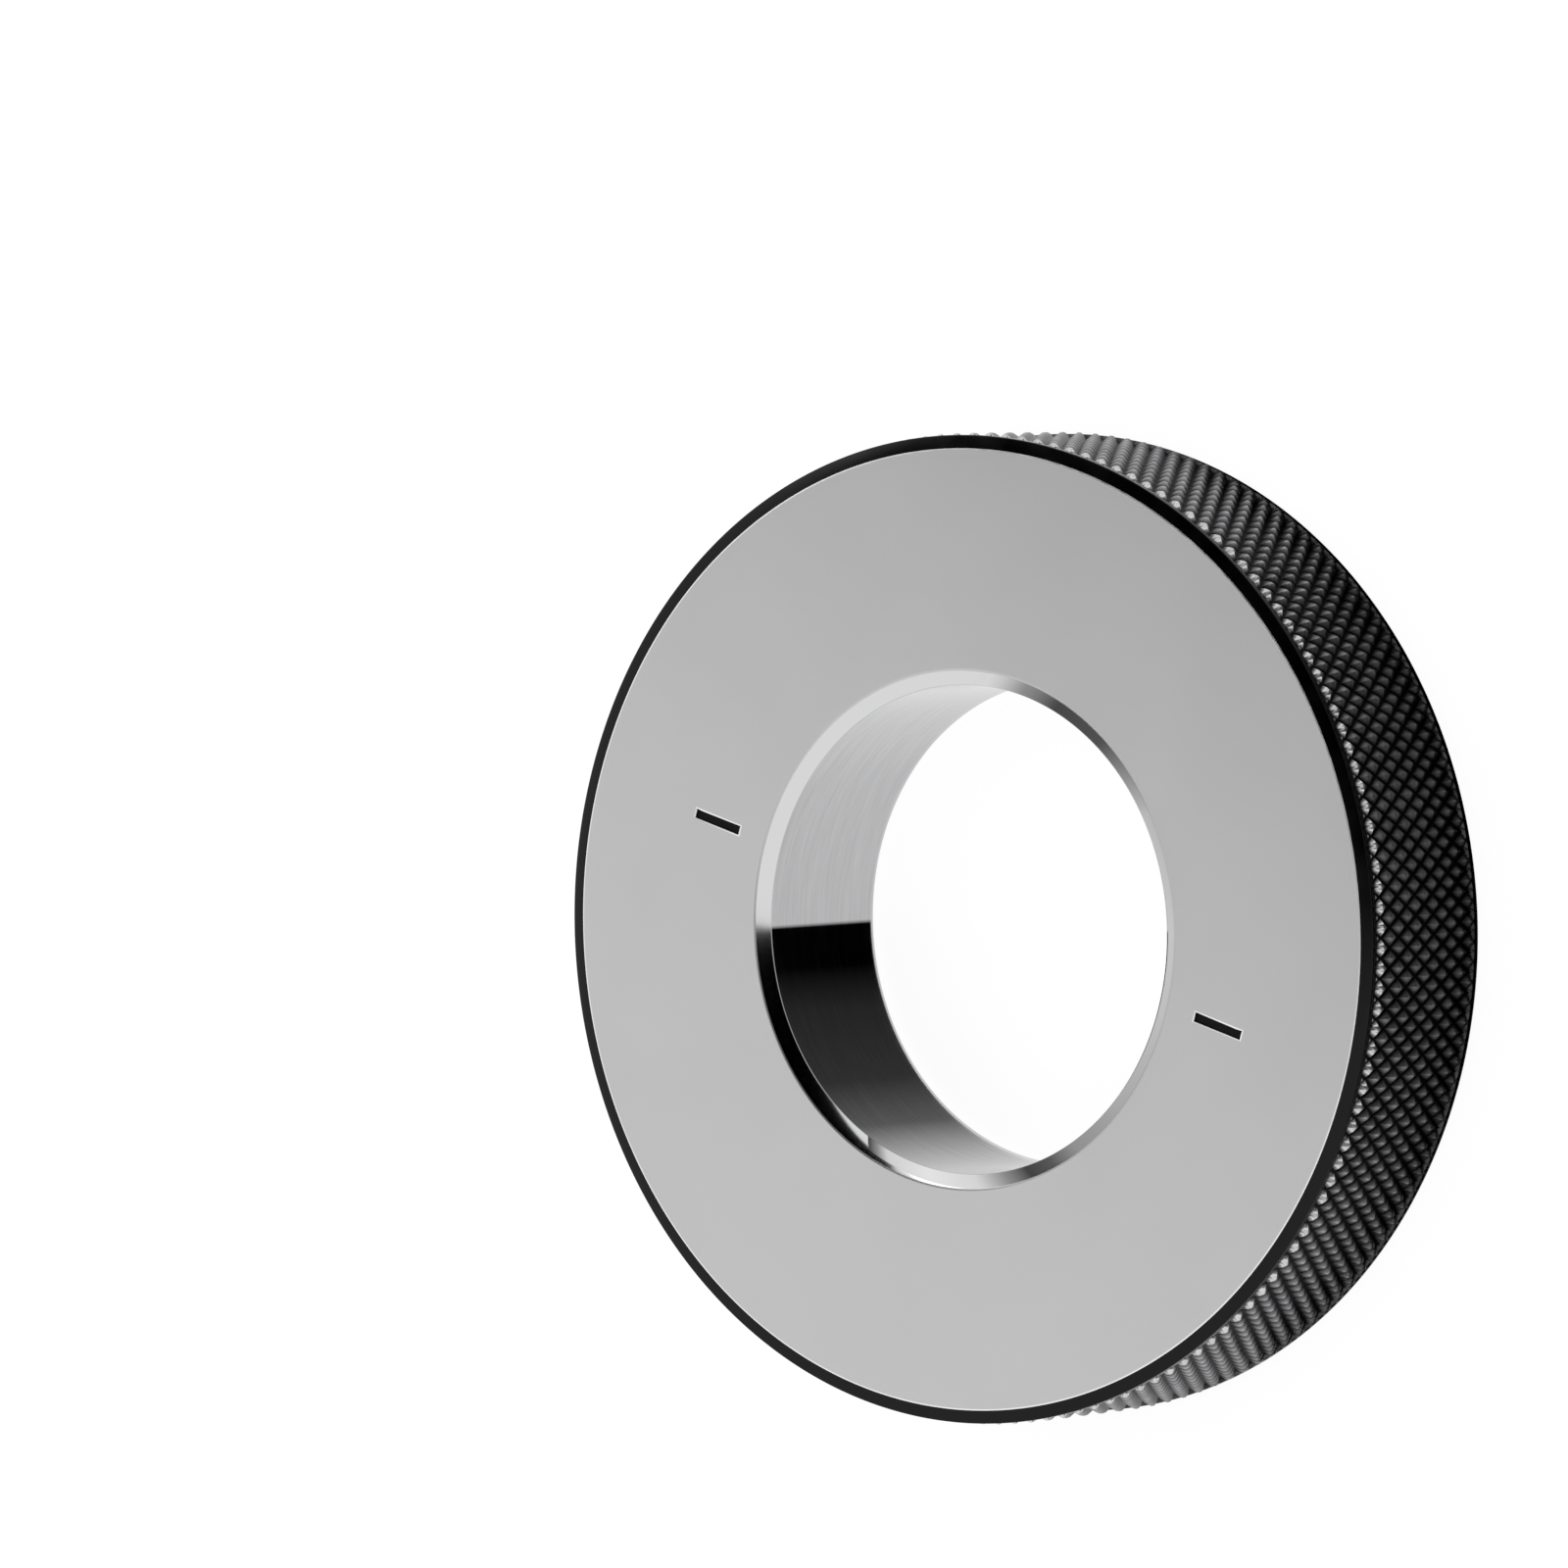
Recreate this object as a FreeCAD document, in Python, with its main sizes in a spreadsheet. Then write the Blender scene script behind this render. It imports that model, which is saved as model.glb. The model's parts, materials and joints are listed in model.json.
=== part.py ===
import FreeCAD, Part
import math
import os
import Sketcher

Vector = FreeCAD.Vector

# Setting ring gauge with a plain bore, in one piece of hardened steel.
# It has a lapped bore with bevelled mouths, two ground faces, two engraved dashes that mark
# the measuring diameter on the front face, and a rim with a diamond knurl between two plain
# lands, each with a shallow chamfer to the ground face.
# Frame: the back face lies on Z = 0, the bore runs along +Z, and the dashes lie along X,
# a little above the measuring diameter as the front face is read.

doc = FreeCAD.newDocument("setting_ring_gauge")

# Driving dimensions, in millimetres and degrees
driving_dimensions = [
    ("outside_diameter", 71.0, "over the tips of the knurl"),
    ("bore_diameter", 35.0, "measuring bore"),
    ("thickness", 13.5, "from ground face to ground face"),
    ("mouth_bevel_width", 1.1, "radial width of the bevel at each mouth of the bore"),
    ("mouth_bevel_depth", 0.6, "depth of that bevel along the bore"),
    ("land_step", 0.15, "radial step from the knurl tips down to the plain land of the rim"),
    ("land_height", 0.7, "from the ground face to the end of that land, where the knurl starts"),
    ("rim_chamfer_width", 0.95, "radial width of the chamfer between land and ground face"),
    ("rim_chamfer_depth", 0.15, "depth of that chamfer along the rim"),
    ("knurl_pitch", 1.2, "from groove to groove, square to the grooves"),
    ("knurl_helix", 33.0, "angle of the grooves to the bore axis"),
    ("knurl_depth", 0.45, "from the tips to the bottom of the grooves"),
    ("knurl_lead", 1.45, "from the front face to the first full row of tips"),
    ("least_run_out", 0.2, "least length of the run-out between the last tips and the land"),
    ("rim_stock", 0.5, "blank left outside the tips, for the rim to take off"),
    ("dash_length", 4.1, "engraved dash, along the measuring diameter"),
    ("dash_width", 0.6, "engraved dash, across"),
    ("dash_depth", 0.15, "engraved dash, into the face"),
    ("dash_gap", 2.45, "from the bevel of the mouth to the dash"),
    ("dash_offset", 0.57, "from the measuring diameter up to the middle of the dashes"),
]
sizes = doc.addObject("Spreadsheet::Sheet", "sizes")
for row, (alias, value, meaning) in enumerate(driving_dimensions, start=1):
    sizes.set("A%d" % row, alias)
    sizes.set("B%d" % row, str(value))
    sizes.set("C%d" % row, meaning)
    sizes.setAlias("B%d" % row, alias)
doc.recompute()

# A dash is a rectangle
dash_corners = 4

# A point of a sketch is a piece of geometry and the end of it that is meant
line_start = 1
line_end = 2
sketch_origin = (-1, 1)


def size(alias):
    """A driving dimension, read from the sheet."""
    return float(sizes.get(alias))


def origin_feature(body, role):
    """The plane or axis of the body's own origin that has this role."""
    return next(item for item in body.Origin.OriginFeatures if item.Role == role)


def new_sketch(body, name, plane):
    """An empty sketch on one of the body's own origin planes."""
    sketch = body.newObject("Sketcher::SketchObject", name)
    sketch.AttachmentSupport = [(origin_feature(body, plane), "")]
    sketch.MapMode = "FlatFace"
    return sketch


def draw_outline(sketch, corners):
    """A closed outline of straight lines, each with its end held on the next one's start."""
    count = len(corners)
    for i in range(count):
        ends = Vector(*corners[i], 0), Vector(*corners[(i + 1) % count], 0)
        sketch.addGeometry(Part.LineSegment(*ends))
    for i in range(count):
        joint = (i, line_end, (i + 1) % count, line_start)
        sketch.addConstraint(Sketcher.Constraint("Coincident", *joint))


def dimension(sketch, kind, start, end, name, expression):
    """A named DistanceX or DistanceY between two points, bound to sizes of the sheet."""
    span = sketch.getPoint(*end) - sketch.getPoint(*start)
    drawn = span.x if kind == "DistanceX" else span.y
    index = sketch.addConstraint(Sketcher.Constraint(kind, *start, *end, drawn))
    sketch.renameConstraint(index, name)
    sketch.setExpression("Constraints." + name, expression)


def turn_blank(body):
    """The turned blank: one section of the ring, revolved about the bore axis.

    Its rim is plain and stands proud of the knurl tips by the stock that comes off there.
    """
    bore = size("bore_diameter") / 2
    mouth = bore + size("mouth_bevel_width")
    stock = size("outside_diameter") / 2 + size("rim_stock")
    back = 0
    front = size("thickness")
    bevel = size("mouth_bevel_depth")
    corners = [
        (bore, back + bevel),
        (mouth, back),
        (stock, back),
        (stock, front),
        (mouth, front),
        (bore, front - bevel),
    ]
    section = new_sketch(body, "blank_section", "XZ_Plane")
    draw_outline(section, corners)
    back_bevel, back_face, rim, front_face, front_bevel, wall = range(len(corners))
    for flat in (back_face, front_face):
        section.addConstraint(Sketcher.Constraint("Horizontal", flat))
    for upright in (rim, wall):
        section.addConstraint(Sketcher.Constraint("Vertical", upright))

    bore_back = (back_bevel, line_start)
    mouth_back = (back_face, line_start)
    rim_back = (rim, line_start)
    mouth_front = (front_bevel, line_start)
    bore_front = (wall, line_start)
    stock_radius = "sizes.outside_diameter / 2 + sizes.rim_stock"
    x, y = "DistanceX", "DistanceY"
    dimension(section, y, sketch_origin, mouth_back, "back_level", "0")
    dimension(section, y, mouth_back, mouth_front, "thickness", "sizes.thickness")
    dimension(section, x, sketch_origin, bore_back, "bore_radius", "sizes.bore_diameter / 2")
    dimension(section, x, bore_back, mouth_back, "back_bevel_width", "sizes.mouth_bevel_width")
    dimension(section, y, mouth_back, bore_back, "back_bevel_depth", "sizes.mouth_bevel_depth")
    dimension(section, x, bore_front, mouth_front, "front_bevel_width", "sizes.mouth_bevel_width")
    dimension(section, y, bore_front, mouth_front, "front_bevel_depth", "sizes.mouth_bevel_depth")
    dimension(section, x, sketch_origin, rim_back, "stock_radius", stock_radius)

    turning = body.newObject("PartDesign::Revolution", "blank_turning")
    turning.Profile = section
    turning.ReferenceAxis = (section, ["V_Axis"])
    turning.Angle = 360
    body.Tip = turning


def engrave_dashes(body):
    """Two engraved dashes on the front face, which show where the bore was measured."""
    inner = size("bore_diameter") / 2 + size("mouth_bevel_width") + size("dash_gap")
    outer = inner + size("dash_length")
    lower_level = size("dash_offset") - size("dash_width") / 2
    upper_level = size("dash_offset") + size("dash_width") / 2
    corners = [
        (inner, lower_level),
        (outer, lower_level),
        (outer, upper_level),
        (inner, upper_level),
    ]
    dash = new_sketch(body, "dash_outline", "XY_Plane")
    dash.setExpression("AttachmentOffset.Base.z", "sizes.thickness")
    draw_outline(dash, corners)
    lower, outside, upper, inside = range(dash_corners)
    for edge in (lower, upper):
        dash.addConstraint(Sketcher.Constraint("Horizontal", edge))
    for upright in (outside, inside):
        dash.addConstraint(Sketcher.Constraint("Vertical", upright))
    low_corner = (lower, line_start)
    inset = "sizes.bore_diameter / 2 + sizes.mouth_bevel_width + sizes.dash_gap"
    level = "sizes.dash_offset - sizes.dash_width / 2"
    dimension(dash, "DistanceX", sketch_origin, low_corner, "inset", inset)
    dimension(dash, "DistanceY", sketch_origin, low_corner, "lower_level", level)
    dimension(dash, "DistanceX", low_corner, (lower, line_end), "length", "sizes.dash_length")
    dimension(dash, "DistanceY", low_corner, (upper, line_end), "width", "sizes.dash_width")

    cut = body.newObject("PartDesign::Pocket", "dash_cut")
    cut.Profile = dash
    cut.Type = "Length"
    cut.setExpression("Length", "sizes.dash_depth")
    body.Tip = cut
    doc.recompute()

    pair = body.newObject("PartDesign::Mirrored", "dash_pair")
    pair.Originals = [cut]
    pair.MirrorPlane = (origin_feature(body, "YZ_Plane"), [""])
    body.Tip = pair


def knurl_columns():
    """Columns of tips and groove crossings round the rim, two to each diamond."""
    mean_girth = math.pi * (size("outside_diameter") - size("knurl_depth"))
    helix = math.radians(size("knurl_helix"))
    return 2 * round(mean_girth * math.cos(helix) / size("knurl_pitch"))


def ring_of_points(radii, level):
    """One point for each column round the bore axis, at its own radius and one level."""
    turn = 2 * math.pi / len(radii)
    return [
        Vector(radius * math.cos(turn * i), radius * math.sin(turn * i), level)
        for i, radius in enumerate(radii)
    ]


def rim_rings():
    """Level, tip radius and groove radius of each ring of points of the rim, back to front.

    The plain rings of the chamfers and lands have one radius for both. The chamfers run on
    past the ground faces, so that the blank keeps its own faces.
    """
    tip = size("outside_diameter") / 2
    groove = tip - size("knurl_depth")
    land = tip - size("land_step")
    past = size("rim_stock")
    inner = land - size("rim_chamfer_width") - past
    slope = size("rim_chamfer_depth") / size("rim_chamfer_width")
    back = [
        (-past * slope, inner, inner),
        (size("rim_chamfer_depth"), land, land),
        (size("land_height"), land, land),
    ]
    front = [(size("thickness") - level, *radii) for level, *radii in reversed(back)]

    row_height = size("knurl_pitch") / (2 * math.sin(math.radians(size("knurl_helix"))))
    first_tips = size("thickness") - size("knurl_lead")
    room = first_tips - size("land_height") - size("least_run_out")
    rows = 1 + math.floor(room / row_height)
    knurl = [(first_tips - row * row_height, tip, groove) for row in reversed(range(rows))]
    return back + knurl + front


def rim_bar():
    """A bar whose skin is the finished rim: chamfers, lands and the knurl between them.

    Two families of grooves, one with each hand of helix, leave a pyramid in every diamond.
    Tips and groove crossings alternate over a lattice of columns round the bar and rows
    along it, so every cell of the lattice is two flat flanks that meet in a groove. At both
    ends of the knurl the grooves run out at the edge of the land.
    """
    columns = knurl_columns()
    rings = rim_rings()
    first_row = max(step for step, (level, tip, groove) in enumerate(rings) if tip > groove)

    points = []
    for step, (level, tip, groove) in enumerate(rings):
        radii = [tip if (first_row - step + column) % 2 == 0 else groove
                 for column in range(columns)]
        points += ring_of_points(radii, level)
    bottom_centre = len(points)
    points.append(Vector(0, 0, rings[0][0]))
    top_centre = len(points)
    points.append(Vector(0, 0, rings[-1][0]))

    facets = []
    top_ring = (len(rings) - 1) * columns
    for column in range(columns):
        beside = (column + 1) % columns
        for step in range(len(rings) - 1):
            low, low_beside = step * columns + column, step * columns + beside
            high, high_beside = low + columns, low_beside + columns
            if (first_row - step + column) % 2 == 0:
                facets += [(low, low_beside, high), (low_beside, high_beside, high)]
            else:
                facets += [(low, low_beside, high_beside), (low, high_beside, high)]
        facets.append((bottom_centre, beside, column))
        facets.append((top_centre, top_ring + column, top_ring + beside))
    skin = Part.Shape()
    skin.makeShapeFromMesh((points, facets), Part.Precision.confusion())
    return Part.makeSolid(skin)


# Turned, ground and engraved blank
ring_blank = doc.addObject("PartDesign::Body", "ring_blank")
turn_blank(ring_blank)
doc.recompute()
engrave_dashes(ring_blank)

# The finished rim, as a bar that runs through the whole blank
finished_rim = doc.addObject("Part::Feature", "finished_rim")
finished_rim.Shape = rim_bar()
finished_rim.Placement = FreeCAD.Placement()

# The gauge is what the blank and the finished rim have in common
gauge_ring = doc.addObject("Part::Common", "gauge_ring")
gauge_ring.Label = "gauge_ring"
gauge_ring.Base = ring_blank
gauge_ring.Tool = finished_rim
gauge_ring.Refine = False
doc.recompute()

for item in doc.Objects:
    if "Invalid" in item.State or "Error" in item.State:
        raise RuntimeError("failed object: " + item.Name)

sub_parts = [gauge_ring]
os.makedirs("parts", exist_ok=True)
for part in sub_parts:
    shape = part.Shape
    if shape.isNull() or not shape.isValid():
        raise RuntimeError("bad shape: " + part.Label)
    shape.exportStep("parts/%s.step" % part.Label)
    print(part.Label, "solids", len(shape.Solids), "faces", len(shape.Faces),
          "volume %.1f mm3" % shape.Volume)
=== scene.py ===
# %% [markdown]
# # A setting ring gauge
# This notebook dresses a plain ring gauge: a hardened steel ring with a lapped bore, ground
# faces and a black knurled rim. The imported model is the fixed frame, and everything is placed
# by it, so the first cell loads it and keeps its box.

# %% Load the frame
import json
import math
import bmesh
import bpy
from mathutils import Matrix, Vector

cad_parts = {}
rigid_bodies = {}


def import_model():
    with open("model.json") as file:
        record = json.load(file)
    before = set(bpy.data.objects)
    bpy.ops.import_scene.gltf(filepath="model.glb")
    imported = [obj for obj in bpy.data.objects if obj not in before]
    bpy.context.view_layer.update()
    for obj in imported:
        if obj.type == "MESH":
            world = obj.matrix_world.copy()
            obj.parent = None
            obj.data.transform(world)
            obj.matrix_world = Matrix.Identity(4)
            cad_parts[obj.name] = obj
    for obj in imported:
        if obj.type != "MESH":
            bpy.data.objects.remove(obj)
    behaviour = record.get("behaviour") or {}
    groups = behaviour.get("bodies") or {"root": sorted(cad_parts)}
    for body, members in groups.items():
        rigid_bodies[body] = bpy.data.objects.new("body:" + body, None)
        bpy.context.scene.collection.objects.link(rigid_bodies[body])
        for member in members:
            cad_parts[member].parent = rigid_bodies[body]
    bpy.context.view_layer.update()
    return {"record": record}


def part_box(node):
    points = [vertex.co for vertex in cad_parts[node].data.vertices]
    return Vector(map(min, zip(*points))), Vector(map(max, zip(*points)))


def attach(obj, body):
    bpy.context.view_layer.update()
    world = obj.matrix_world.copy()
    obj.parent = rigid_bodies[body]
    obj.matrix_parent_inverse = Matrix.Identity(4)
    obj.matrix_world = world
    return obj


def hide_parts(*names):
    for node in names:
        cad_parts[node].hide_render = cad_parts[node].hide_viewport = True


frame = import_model()

# %% [markdown]
# ## Sizes
# The outer sizes and the bore are read from the frame, so the piece can't drift away from it.
# The small features are named here in millimetres. All modelling is done in millimetres,
# where the numbers are easy to read, and the finished mesh is scaled to metres once. The land
# is the plain band at each end of the rim, and the knurl's lead is how far its first row of
# tips lies below the front face.

# %% Sizes of the ring
MM = 0.001
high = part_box("gauge_ring")[1]
bore_mount = next(m for m in frame["record"]["mounts"] if m["name"] == "bore")

rim_radius = high.x / MM
thickness = high.z / MM
bore_radius = bore_mount["dims"]["r_mm"]
bevel_width, bevel_depth = 1.1, 0.6
land_step, land_height = 0.15, 0.7
chamfer_width, chamfer_depth = 0.95, 0.15
land_radius = rim_radius - land_step
face_radius = land_radius - chamfer_width
mouth_radius = bore_radius + bevel_width
knurl_pitch, knurl_depth, knurl_lead = 1.2, 0.45, 1.45
knurl_helix = math.radians(33)
dash_length, dash_width, dash_depth = 4.1, 0.6, 0.15
dash_gap, dash_offset = 2.45, 0.57
print("rim radius %.2f, bore radius %.2f, thickness %.2f mm" % (rim_radius, bore_radius, thickness))

# %% [markdown]
# ## The knurl, unrolled
# A diamond knurl is two families of parallel V grooves that cross and leave a field of small
# pyramids. It could be cut as a bump in the material, but its teeth break up the outline of the
# ring, so it is real geometry. The easy way is to unroll the rim: x runs round it, y is the
# radius and z is the axis. One diamond is a small grid whose sides lie in the grooves. Each
# point is as deep as the nearer groove makes it, and the grid is then sheared into a rhombus.
# The tip is a little rounded, because a rolled knurl never quite fills the tool. Where the wheel
# enters, the metal piles up, so the first row has a steeper front.

# %% One diamond
diamonds = round(math.pi * (2 * rim_radius - knurl_depth) * math.cos(knurl_helix) / knurl_pitch)
half_width = math.pi * rim_radius / diamonds
half_height = knurl_pitch / (2 * math.sin(knurl_helix))

# Points from the tip to the groove: share of the half pitch, and share of the groove's depth
flank_profile = [(0.0, 0.0), (0.2, 0.05), (0.5, 0.36), (1.0, 1.0)]
flank_steps = len(flank_profile) - 1
front_steepness = 3
diagonal_slack = 0.001


def diamond(bm, steep_front=False):
    """One pyramid about the origin: a grid with its sides in the grooves."""
    made = bmesh.ops.create_grid(
        bm, x_segments=2 * flank_steps, y_segments=2 * flank_steps, size=1)
    # The faces on the grid's diagonals are split along them, because the ridges run there
    for face in {f for v in made["verts"] for f in v.link_faces}:
        centre = face.calc_center_median()
        if abs(abs(centre.x) - abs(centre.y)) < diagonal_slack:
            ridge = sorted(face.verts, key=lambda vert: vert.co.length)
            bmesh.utils.face_split(face, ridge[0], ridge[-1])
    for vert in made["verts"]:
        shares, depths = [], []
        for side in (vert.co.x, vert.co.y):
            place, depth = flank_profile[round(abs(side) * flank_steps)]
            shares.append(math.copysign(place, side) / 2)
            depths.append(depth)
        across = (shares[0] - shares[1]) * half_width
        along = (shares[0] + shares[1]) * half_height
        sunk = max(depths)
        if steep_front and along > 0:
            sunk = 1 - (1 - sunk) ** front_steepness
        vert.co = Vector((across, rim_radius - sunk * knurl_depth, along))
    return made["verts"]


print("diamonds round the rim:", diamonds)

# %% [markdown]
# ## One sector of the rim
# The rim repeats once per diamond, so only one sector is modelled: a zigzag column of diamonds.
# On the real ring the knurling wheel stops short of both faces and leaves a narrow plain land,
# a little below the tips. Two bisects cut the column where the lands begin, and the cut edge is
# extruded to the land's radius, which runs the grooves out. Its points are snapped to a few
# places per diamond, so that the turned body can be welded to it later.

# %% Cut the sector
welds_per_diamond = 4
weld_step = 2 * half_width / welds_per_diamond
run_out = 0.08
first_tips = thickness - knurl_lead
merge_distance, cut_slack = 0.001, 1e-5


def rim_sector(bm):
    """A zigzag column of diamonds between the two lands, unrolled."""
    rows_up = math.ceil(knurl_lead / half_height) + 1
    rows_down = math.ceil(first_tips / half_height) + 1
    for row in range(-rows_down, rows_up + 1):
        verts = diamond(bm, steep_front=(row == 0))
        shift = Vector(((row % 2) * half_width, 0, first_tips + row * half_height))
        bmesh.ops.translate(bm, verts=verts, vec=shift)
    bmesh.ops.remove_doubles(bm, verts=bm.verts, dist=merge_distance)
    for level, up in ((land_height, -1), (thickness - land_height, 1)):
        everything = bm.verts[:] + bm.edges[:] + bm.faces[:]
        cut = bmesh.ops.bisect_plane(bm, geom=everything, dist=cut_slack, clear_outer=True,
                                     plane_co=(0, 0, level), plane_no=(0, 0, up))
        land_edges = [e for e in cut["geom_cut"] if isinstance(e, bmesh.types.BMEdge)]
        band = bmesh.ops.extrude_edge_only(bm, edges=land_edges)["geom"]
        for vert in (v for v in band if isinstance(v, bmesh.types.BMVert)):
            across = round(vert.co.x / weld_step) * weld_step
            vert.co = Vector((across, land_radius, level + up * run_out))
    bmesh.ops.remove_doubles(bm, verts=bm.verts, dist=merge_distance)


rim = bmesh.new()
rim_sector(rim)
print("faces in one sector:", len(rim.faces))

# %% [markdown]
# ## Roll it up
# Rolling up is one formula: the distance along x becomes an angle. The sector is then spun
# round the axis as separate copies, and merging the points that meet closes the rim.

# %% Roll up and repeat
weld_distance = 0.002
for vert in rim.verts:
    turn = vert.co.x / rim_radius
    vert.co = Vector((vert.co.y * math.cos(turn), vert.co.y * math.sin(turn), vert.co.z))
bmesh.ops.spin(
    rim, geom=rim.verts[:] + rim.edges[:] + rim.faces[:], cent=(0, 0, 0), axis=(0, 0, 1),
    angle=math.tau * (diamonds - 1) / diamonds, steps=diamonds - 1, use_duplicate=True)
bmesh.ops.remove_doubles(rim, verts=rim.verts, dist=weld_distance)
print("faces in the rim:", len(rim.faces))

# %% [markdown]
# ## The turned body
# Bore, bevels and faces are one turned form, so they are spun from one line, in a bmesh of
# their own. Its corners are rounded first: every real edge has a small break, and that break
# is what draws the bright line round a machined part. The line starts and ends on the lands,
# where both meshes have the same number of points in the ring.

# %% Spin the body
edge_break, bore_break, land_break, break_steps = 0.09, 0.05, 0.06, 3
stoned_width, stoned_depth = 0.1, 0.02

# Each corner of half the section: its radius, its depth below the face and its rounding
half_section = [
    (land_radius, land_height - run_out, 0),
    (land_radius, chamfer_depth, land_break),
    (face_radius, stoned_depth, 0),
    (face_radius - stoned_width, 0, 0),
    (mouth_radius, 0, edge_break),
    (bore_radius, bevel_depth, bore_break),
]
corners = [(radius, thickness - level, rounding) for radius, level, rounding in half_section]
corners += reversed(half_section)
body = bmesh.new()
line = [body.verts.new((radius, 0, level)) for radius, level, rounding in corners]
for start, end in zip(line, line[1:]):
    body.edges.new((start, end))
for vert, (radius, level, rounding) in zip(line, corners):
    if rounding:
        bmesh.ops.bevel(body, geom=[vert], offset=rounding, segments=break_steps, profile=0.5,
                        affect="VERTICES", material=-1)
section_edges = len(body.edges)
bmesh.ops.spin(
    body, geom=body.edges[:] + body.verts[:], cent=(0, 0, 0), axis=(0, 0, 1), angle=math.tau,
    steps=diamonds * welds_per_diamond, use_merge=True)
bmesh.ops.recalc_face_normals(body, faces=body.faces)
print("edges of the section:", section_edges, "faces in the body:", len(body.faces))

# %% [markdown]
# ## Which finish goes where
# The ring is one piece of steel with several finishes, so its faces get their material numbers
# here, while the body is still apart from the rim. The bore is lapped, its mouths are turned
# and the end faces are ground. The rim and its chamfers are blackened. The faces were ground
# and their outer edges stoned after the blackening, so a thin bright line runs round them, which
# is partly a painted highlight.

# %% Number the finishes
FINISHES = ["ground_steel", "lapped_bore", "turned_bevel", "stoned_edge_highlight", "black_oxide",
            "knurl_wear_and_painted_shade", "black_fill"]


def finish_of(face):
    """The finish of a face of the turned body, by its radius."""
    centre = face.calc_center_median()
    radius = math.hypot(centre.x, centre.y)
    if radius > face_radius:
        return "black_oxide"
    if radius > face_radius - stoned_width:
        return "stoned_edge_highlight"
    if radius < bore_radius + bore_break:
        return "lapped_bore"
    if radius < mouth_radius - edge_break:
        return "turned_bevel"
    return "ground_steel"


for face in body.faces:
    face.material_index = FINISHES.index(finish_of(face))
for face in rim.faces:
    face.material_index = FINISHES.index("knurl_wear_and_painted_shade")
for number, finish in enumerate(FINISHES):
    faces = [f for f in body.faces[:] + rim.faces[:] if f.material_index == number]
    print(finish, "on", len(faces), "faces")

# %% [markdown]
# ## Weld the body into the rim
# The body goes through a mesh into the rim's bmesh, and merging the points that meet closes
# the ring. A closed solid has two faces on every edge, which is counted here.

# %% Weld
carrier = bpy.data.meshes.new("carrier")
body.to_mesh(carrier)
body.free()
ring = rim
ring.from_mesh(carrier)
bpy.data.meshes.remove(carrier)
bmesh.ops.remove_doubles(ring, verts=ring.verts, dist=weld_distance)
bmesh.ops.recalc_face_normals(ring, faces=ring.faces)
open_edges = sum(1 for e in ring.edges if len(e.link_faces) != 2)
print("faces in the ring:", len(ring.faces), "open edges:", open_edges)

# %% [markdown]
# ## The dashes
# Two short dashes on the front face mark the diameter on which the ring was measured. They
# are engraved and filled with black lacquer. Four bisects draw each outline into the face, a
# small inset leaves a broken edge with the stoned edge's painted highlight, and an extrude sinks
# the floor.

# %% Engrave the dashes
dash_start = mouth_radius + dash_gap
dash_end = dash_start + dash_length
dash_break, dash_break_depth = 0.13, 0.02
cut_reach, level_slack = 12 * dash_width, 1e-4


def in_dash(face, side, margin):
    """Whether a face lies in the front face, within a dash's outline and a margin round it."""
    centre = face.calc_center_median()
    return (all(abs(v.co.z - thickness) < level_slack for v in face.verts)
            and dash_start - margin < centre.x * side < dash_end + margin
            and abs(centre.y - dash_offset) < dash_width / 2 + margin)


def engrave(bm, side):
    """One dash on the +X side (side = 1) or the -X side (side = -1) of the front face."""
    low_x, high_x = dash_start - dash_break, dash_end + dash_break
    low_y, high_y = (dash_offset + way * (dash_width / 2 + dash_break) for way in (-1, 1))
    cuts = [((side * low_x, 0), (1, 0)), ((side * high_x, 0), (1, 0)),
            ((0, low_y), (0, 1)), ((0, high_y), (0, 1))]
    for (x, y), (nx, ny) in cuts:
        near = [f for f in bm.faces if in_dash(f, side, cut_reach)]
        geom = set(near) | {e for f in near for e in f.edges} | {v for f in near for v in f.verts}
        bmesh.ops.bisect_plane(bm, geom=list(geom), dist=cut_slack, plane_co=(x, y, 0),
                               plane_no=(nx, ny, 0))
    outline = [f for f in bm.faces if in_dash(f, side, dash_break)]
    floor = bmesh.ops.dissolve_faces(bm, faces=outline)["region"]
    edge = bmesh.ops.inset_region(bm, faces=floor, thickness=dash_break,
                                  depth=-dash_break_depth)["faces"]
    for face in edge:
        face.material_index = FINISHES.index("stoned_edge_highlight")
    sunk = bmesh.ops.extrude_face_region(bm, geom=floor)["geom"]
    bmesh.ops.delete(bm, geom=floor, context="FACES")
    sunk_verts = [v for v in sunk if isinstance(v, bmesh.types.BMVert)]
    bmesh.ops.translate(bm, verts=sunk_verts, vec=(0, 0, dash_break_depth - dash_depth))
    filled = {f for v in sunk_verts for f in v.link_faces}
    for face in filled:
        face.material_index = FINISHES.index("black_fill")
    return len(filled)


for side in (1, -1):
    print("dash on side", side, "faces:", engrave(ring, side))

# %% [markdown]
# ## How deep in the knurl
# Wear and dirt follow the height of the teeth: hands polish the crests, and the grooves keep
# their salts and oil. The black of the grooves is also painted shade, for the shade down between
# the teeth. A pattern on coordinates can't know that, so each point of the mesh carries its own
# value for the material to read: 0 on the first tips, which are partly burnished and partly a
# painted highlight, then from a little above that on the other tips up to 1 in a groove.

# %% Measure the depth
tip_value, land_value = 0.12, 0.7

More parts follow.
